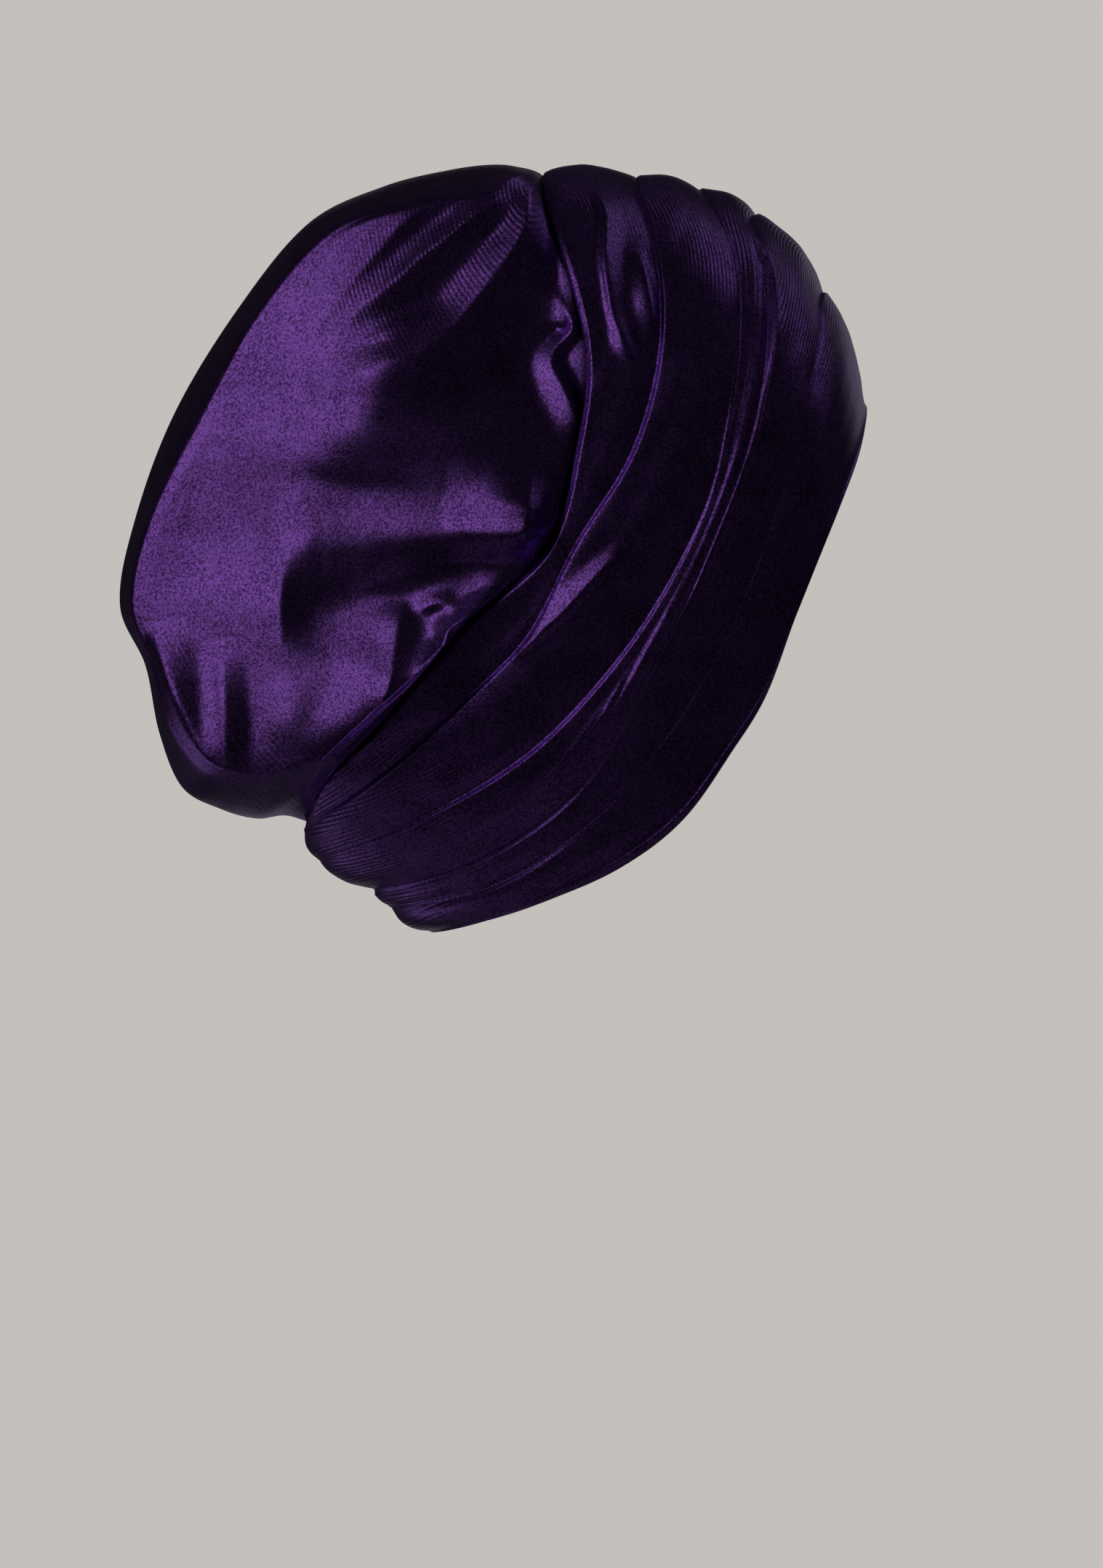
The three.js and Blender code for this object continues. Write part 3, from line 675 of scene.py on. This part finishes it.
def make_crown(settings):
    """The crown as one closed skin: both sides joined over the outer edge, their margins tucked
    under the band, and the same again one wall inside."""
    share = np.linspace(0, 1, settings.stations)

    def skin(depth, turned, right_face, left_face):
        """Both sides as one run of rows from tuck to tuck, and how much painted shade each gets,
        from their numbers of columns."""
        over = np.linspace(0, 1, turned)
        (right, right_tuck, right_painted_shade), (left, left_tuck, left_painted_shade) = (
            crown_side(share, settings, (over, np.linspace(0, 1, face)[1:]), side, depth)
            for face, side in ((right_face, -1), (left_face, 1)))
        # the rows tucked under the band get the full painted shade
        tucked = np.ones(right_tuck.shape[:2])
        return (np.concatenate([right_tuck, right[:, ::-1], left[:, 1:], left_tuck[:, ::-1]], 1),
                np.concatenate([tucked, right_painted_shade[:, ::-1], left_painted_shade[:, 1:], tucked], 1))

    outside, outside_painted_shade = skin(0.0, settings.turned_columns, settings.near_columns,
                                 settings.far_columns)
    inside, inside_painted_shade = skin(settings.wall, TURNED_INSIDE, settings.inside_columns,
                               settings.inside_columns)
    loops = np.concatenate([outside, inside[:, ::-1]], 1)
    # painted shade of the tucks on both skins
    deep = np.concatenate([outside_painted_shade, inside_painted_shade[:, ::-1]], 1)
    lining = np.concatenate([np.zeros(outside.shape[:2]), np.ones(inside.shape[:2])], 1)
    dx, dz = loops[..., 0] - GATHER[0], loops[..., 2] - GATHER[1]
    around = np.arctan2(dz, dx) * GATHER_RADIUS
    cloth_map = np.stack([around, np.hypot(dx, GATHER_TALL * dz)], -1) * MM
    # the deep attribute carries the painted shade of the tucks to the material
    return closed_mesh("crown_cloth", loops, False, cloth_map, {
        "lining": lining, "wale": spot_mask(loops, CROWN_RIBS), "deep": deep})


# ---- materials ----


def velvet(name, settings):
    """Stretch velvet: a near-black purple ground under a short pressed pile. The pile gives a
    tinted satin gloss with fine grain, slow crush marks, ribs where it is drawn tight, and fine
    creases whose pile is rubbed matte. The inside is plain backing, and tucks get painted shade."""
    material = bpy.data.materials.new(name)
    material.use_nodes = True
    nodes, links = material.node_tree.nodes, material.node_tree.links

    def put(node, inputs):
        """Fills a node's inputs, with another node's output or a plain value for each."""
        for key, value in inputs.items():
            if isinstance(value, bpy.types.NodeSocket):
                links.new(value, node.inputs[key])
            else:
                node.inputs[key].default_value = value

    def add(kind, inputs, **options):
        node = nodes.new(kind)
        for key, value in options.items():
            setattr(node, key, value)
        put(node, inputs)
        return node

    def math(operation, a, b):
        return add("ShaderNodeMath", {0: a, 1: b}, operation=operation).outputs[0]

    def mask(key):
        return add("ShaderNodeAttribute", {}, attribute_name=key).outputs["Fac"]

    def noise(vector, scale, detail, rough):
        return add("ShaderNodeTexNoise", {"Vector": vector, "Scale": scale, "Detail": detail,
                                          "Roughness": rough}).outputs["Fac"]

    def mix(factor, a, b):
        return add("ShaderNodeMix", {"Factor": factor, "A": a, "B": b},
                   data_type="RGBA").outputs["Result"]

    place = add("ShaderNodeTexCoord", {}).outputs["Object"]
    cloth = add("ShaderNodeUVMap", {}, uv_map="cloth").outputs["UV"]
    lining, wale = mask("lining"), mask("wale")
    grain = noise(place, 1 / settings.grain, 2.0, 0.6)
    crush = noise(place, 1 / settings.crush, 3.0, 0.55)
    up_cloth = add("ShaderNodeSeparateXYZ", {0: cloth}).outputs["Y"]
    wave = math("SINE", math("MULTIPLY", up_cloth, 2 * np.pi / settings.rib), 0.0)
    stretched = add("ShaderNodeVectorMath", {
        0: cloth, 1: (1 / settings.crease_length, 1 / settings.crease, 0)}, operation="MULTIPLY")
    streaks = math("MULTIPLY", noise(stretched.outputs[0], 1.0, 1.0, 0.5), mask("creased"))

    standing = add("ShaderNodeMapRange", {
        "Value": math("ADD", grain, math("MULTIPLY", crush, 0.3)), "From Min": 0.42,
        "From Max": 0.86}, interpolation_type="SMOOTHSTEP").outputs["Result"]
    pile = mix(standing, (*settings.ground, 1), (*settings.pile, 1))
    both_sides = mix(lining, pile, (*settings.backing, 1))
    # painted shade: deep in a tuck the colour is mixed towards a near-black shade colour
    shaded = mix(math("MULTIPLY", mask("deep"), settings.tuck_shade_strength), both_sides, (*TUCK_SHADE_COLOUR, 1))

    height = math("MULTIPLY", grain, settings.grain_depth)
    for pattern, depth in ((math("MULTIPLY", wave, wale), settings.rib_depth),
                           (crush, settings.crush_depth), (streaks, settings.crease_depth)):
        height = math("ADD", height, math("MULTIPLY", pattern, depth))
    bump = add("ShaderNodeBump", {"Strength": 1.0, "Distance": 1.0, "Height": height})

    rough = math("ADD", math("MULTIPLY", crush, 0.10), settings.roughness - 0.05)
    matte = math("ADD", math("MULTIPLY", wale, settings.open_pile),
                 math("MULTIPLY", streaks, settings.rubbed))
    put(nodes["Principled BSDF"], {
        "Base Color": shaded, "Normal": bump.outputs["Normal"],
        "Roughness": math("ADD", rough, math("MULTIPLY", lining, 0.25)),
        "Metallic": math("SUBTRACT", settings.metal, matte), "Specular IOR Level": 0.2,
        "Coat Weight": settings.fuzz, "Coat Roughness": 0.6,
        "Sheen Weight": settings.sheen, "Sheen Roughness": 0.35,
        "Sheen Tint": (*settings.sheen_tint, 1)})
    return material


def finish_piece(made, node):
    """Puts the velvet on a piece, hangs it on the root body, and hides the imported part of the
    node that it stands for."""
    slot = node + "_velvet"
    made.data.materials.append(velvet(slot, bpy.context.scene.beanie_velvet))
    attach(made, "root")
    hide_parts(node)


# ---- stage ----


def aim(made, target):
    """Turns a light or a camera to look at a point."""
    made.rotation_euler = (Vector(target) - made.location).to_track_quat("-Z", "Y").to_euler()


def soft_light(name, power, place, size, colour):
    """A rectangular light that looks at the middle of the beanie."""
    light = bpy.data.lights.new(name, "AREA")
    light.shape = "RECTANGLE"
    light.size, light.size_y = size
    light.energy = power
    light.color = colour
    made = bpy.data.objects.new(name, light)
    made.location = place
    bpy.context.scene.collection.objects.link(made)
    aim(made, MIDDLE)


def make_floor():
    """A pale disc well below the beanie."""
    turn = np.linspace(0, 2 * np.pi, FLOOR_SIDES + 1)[:-1]
    ring = np.stack([np.cos(turn), np.sin(turn), np.zeros(FLOOR_SIDES)], -1) * FLOOR_RADIUS
    mesh = bpy.data.meshes.new("floor")
    mesh.from_pydata((ring + (0, 0, FLOOR_LEVEL)).tolist(), [], [tuple(range(FLOOR_SIDES))])
    floor = bpy.data.objects.new("floor", mesh)
    bpy.context.scene.collection.objects.link(floor)
    pale = bpy.data.materials.new("pale_floor")
    pale.use_nodes = True
    shader = pale.node_tree.nodes["Principled BSDF"]
    shader.inputs["Base Color"].default_value = (0.62, 0.6, 0.58, 1)
    shader.inputs["Roughness"].default_value = 0.8
    mesh.materials.append(pale)


def make_room(settings):
    """A world that is seen as the plain backdrop, and lights the beanie only faintly."""
    room = bpy.data.worlds.new("room")
    bpy.context.scene.world = room
    room.use_nodes = True
    nodes, links = room.node_tree.nodes, room.node_tree.links
    seen, dim = nodes["Background"], nodes.new("ShaderNodeBackground")
    seen.inputs["Color"].default_value = (*settings.backdrop, 1)
    dim.inputs["Color"].default_value = (1.0, 0.97, 0.95, 1)
    dim.inputs["Strength"].default_value = settings.ambient
    path, mix = nodes.new("ShaderNodeLightPath"), nodes.new("ShaderNodeMixShader")
    for output, socket in ((path.outputs["Is Camera Ray"], mix.inputs[0]),
                           (dim.outputs[0], mix.inputs[1]), (seen.outputs[0], mix.inputs[2]),
                           (mix.outputs[0], nodes["World Output"].inputs["Surface"])):
        links.new(output, socket)


def make_camera():
    """A camera level with the beanie's lower half, straight at its right side, with a lens that
    takes in the view height at that distance."""
    camera = bpy.data.cameras.new("camera")
    camera.sensor_fit = "VERTICAL"
    camera.sensor_height = SENSOR
    camera.lens = SENSOR * VIEW_DISTANCE / VIEW_HEIGHT
    camera.clip_end = 60.0
    made = bpy.data.objects.new("camera", camera)
    made.location = (VIEW_X, -VIEW_DISTANCE, VIEW_Z)
    bpy.context.scene.collection.objects.link(made)
    aim(made, (VIEW_X, 0.0, VIEW_Z))
    bpy.context.scene.camera = made


# ---- settings, operators and panel ----


# Kinds of setting, with their limits where a setting has none of its own.
Colour = partial(FloatVectorProperty, subtype="COLOR", size=3, min=0, max=1)
Share = partial(FloatProperty, subtype="FACTOR", min=0, max=1)
Length = partial(FloatProperty, unit="LENGTH", min=0, max=0.5, precision=5)
Millimetres = partial(FloatProperty, min=0, max=8)
Power = partial(FloatProperty, unit="POWER", min=0, max=500)
Count = partial(IntProperty, min=8, max=600)


class VelvetSettings(bpy.types.PropertyGroup):
    ground: Colour(name="Ground", description="Colour between the pile",
                   default=(0.10, 0.03, 0.20))
    pile: Colour(name="Pile", description="Colour of the lit pile", default=(0.50, 0.19, 1.0))
    backing: Colour(name="Backing", description="Colour of the inside",
                    default=(0.03, 0.012, 0.06))
    sheen_tint: Colour(name="Sheen tint", description="Colour of the fuzz at grazing angles",
                       default=(0.35, 0.18, 0.55))
    roughness: Share(name="Roughness", description="Width of the gloss", default=0.31)
    metal: Share(name="Tinted gloss", description="Share of gloss in the pile's colour",
                 default=1.0)
    sheen: Share(name="Sheen", description="Strength of the fuzz", default=0.04)
    fuzz: Share(name="Fuzz", description="Dull untinted gloss of the pile's tips", default=0.3)
    open_pile: Share(name="Open pile", description="Matte ground seen between tight ribs",
                     default=0.3)
    rubbed: Share(name="Rubbed creases", description="Matte pile along the fine creases",
                  default=0.45)
    # painted shade: how much the cloth in a tuck is darkened
    tuck_shade_strength: Share(name="Crevice", description="How much darker the cloth is in a tuck",
                   default=0.96)
    grain: Length(name="Grain", description="Size of the pile's grain", default=0.0008,
                  min=0.0002)
    grain_depth: Length(name="Grain depth", description="Height of the grain", default=0.00007)
    crush: Length(name="Crush marks", description="Size of the pressed patches", default=0.014,
                  min=0.002)
    crush_depth: Length(name="Crush depth", description="Height of the pressed patches",
                        default=0.0002)
    rib: Length(name="Rib pitch", description="Distance between knitted ribs", default=0.0014,
                min=0.0004)
    rib_depth: Length(name="Rib depth", description="Height of the ribs", default=0.0001)
    crease: Length(name="Fine crease", description="Distance between fine creases",
                   default=0.003, min=0.0005)
    crease_length: Length(name="Crease length", description="How long a fine crease runs",
                          default=0.05, min=0.005)
    crease_depth: Length(name="Crease depth", description="Height of the fine creases",
                         default=0.0016)


class BandSettings(bpy.types.PropertyGroup):
    near_steps: Count(name="Near steps", description="Columns over the right ear", default=240)
    far_steps: Count(name="Far steps", description="Columns over the left ear", default=180)
    flank_rows: Count(name="Flank rows", description="Close rows above each fold", default=8,
                      min=3, max=20)
    panel_rows: Count(name="Panel rows", description="Even rows up each panel", default=24,
                      min=4)
    inside_rows: Count(name="Inside rows", description="Rows of the inside", default=34)
    wall: Millimetres(name="Wall", description="Doubled velvet, in millimetres", default=2.4,
                      min=1, max=4)
    flank: Millimetres(name="Flank", description="Width of a fold's drop, in millimetres",
                       default=2.4, min=0.5)
    lean: Millimetres(name="Lean", description="How far a fold leans over its valley, in "
                      "millimetres", default=0.5, max=3)
    edge_drop: Millimetres(name="Edge drop", description="How far the top edge turns in, in "
                           "millimetres", default=1.2, max=3)


class CrownSettings(bpy.types.PropertyGroup):
    stations: Count(name="Stations", description="Sections round the outer edge", default=280,
                    min=40)
    turned_columns: Count(name="Turned columns", description="Columns over the edge",
                          default=10, min=4)
    near_columns: Count(name="Near columns", description="Columns over the right side",
                        default=136)
    far_columns: Count(name="Far columns", description="Columns over the left side", default=84)
    inside_columns: Count(name="Inside columns", description="Columns of each inner side",
                          default=28)
    wall: Millimetres(name="Wall", description="Doubled velvet, in millimetres", default=2.2,
                      min=1, max=4)
    knee_round: Share(name="Knee rounding", description="How softly the face flattens",
                      default=0.05, min=0.01, max=0.2)


class StageSettings(bpy.types.PropertyGroup):
    backdrop: Colour(name="Backdrop", description="Pale grey seen all round",
                     default=(0.55, 0.53, 0.505))
    ambient: FloatProperty(name="Ambient", description="Light from the room", default=0.01,
                           min=0, max=2)
    window: Power(name="Window light", description="Big soft light on the left", default=1.95)
    ceiling: Power(name="Ceiling light", description="Weak soft light above", default=1.0)
    low: Power(name="Low light", description="Weak soft light from low behind", default=0.45)
    far: Power(name="Far light", description="Soft light on the far side", default=1.1)


class BEANIE_OT_band(bpy.types.Operator):
    """Make the draped band"""
    bl_idname = "beanie.band"
    bl_label = "Make band"

    def execute(self, context):
        finish_piece(make_band(context.scene.beanie_band), "band")
        return {"FINISHED"}


class BEANIE_OT_crown(bpy.types.Operator):
    """Make the slouched crown"""
    bl_idname = "beanie.crown"
    bl_label = "Make crown"

    def execute(self, context):
        finish_piece(make_crown(context.scene.beanie_crown), "crown")
        return {"FINISHED"}


class BEANIE_OT_stage(bpy.types.Operator):
    """Make the floor, the lights, the room and the camera"""
    bl_idname = "beanie.stage"
    bl_label = "Make stage"

    def execute(self, context):
        settings = context.scene.beanie_stage
        make_floor()
        for name, power, *rest in LIGHTS:
            soft_light(name, getattr(settings, power), *rest)
        context.scene.view_settings.view_transform = "Standard"
        make_room(settings)
        make_camera()
        return {"FINISHED"}


class BEANIE_PT_panel(bpy.types.Panel):
    """Lists the pieces of the beanie and their settings"""
    bl_idname = "BEANIE_PT_panel"
    bl_label = "Slouch beanie"
    bl_space_type = "VIEW_3D"
    bl_region_type = "UI"
    bl_category = "Beanie"

    def draw(self, context):
        for operator, group in STEPS:
            box = self.layout.box()
            box.operator(operator)
            settings = getattr(context.scene, group)
            for name in settings.__annotations__:
                box.prop(settings, name)
        box = self.layout.box()
        for name in context.scene.beanie_velvet.__annotations__:
            box.prop(context.scene.beanie_velvet, name)


STEPS = (("beanie.band", "beanie_band"), ("beanie.crown", "beanie_crown"),
         ("beanie.stage", "beanie_stage"))
GROUPS = {"beanie_velvet": VelvetSettings, "beanie_band": BandSettings,
          "beanie_crown": CrownSettings, "beanie_stage": StageSettings}
CLASSES = (*GROUPS.values(), BEANIE_OT_band, BEANIE_OT_crown, BEANIE_OT_stage, BEANIE_PT_panel)


def register():
    for cls in CLASSES:
        bpy.utils.register_class(cls)
    for name, group in GROUPS.items():
        setattr(bpy.types.Scene, name, PointerProperty(type=group))


def unregister():
    for name in GROUPS:
        delattr(bpy.types.Scene, name)
    for cls in reversed(CLASSES):
        bpy.utils.unregister_class(cls)


def main():
    """Makes the stage and both pieces."""
    register()
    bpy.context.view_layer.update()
    bpy.ops.beanie.stage()
    bpy.ops.beanie.band()
    bpy.ops.beanie.crown()
    bpy.context.view_layer.update()


if __name__ == "__main__":
    main()
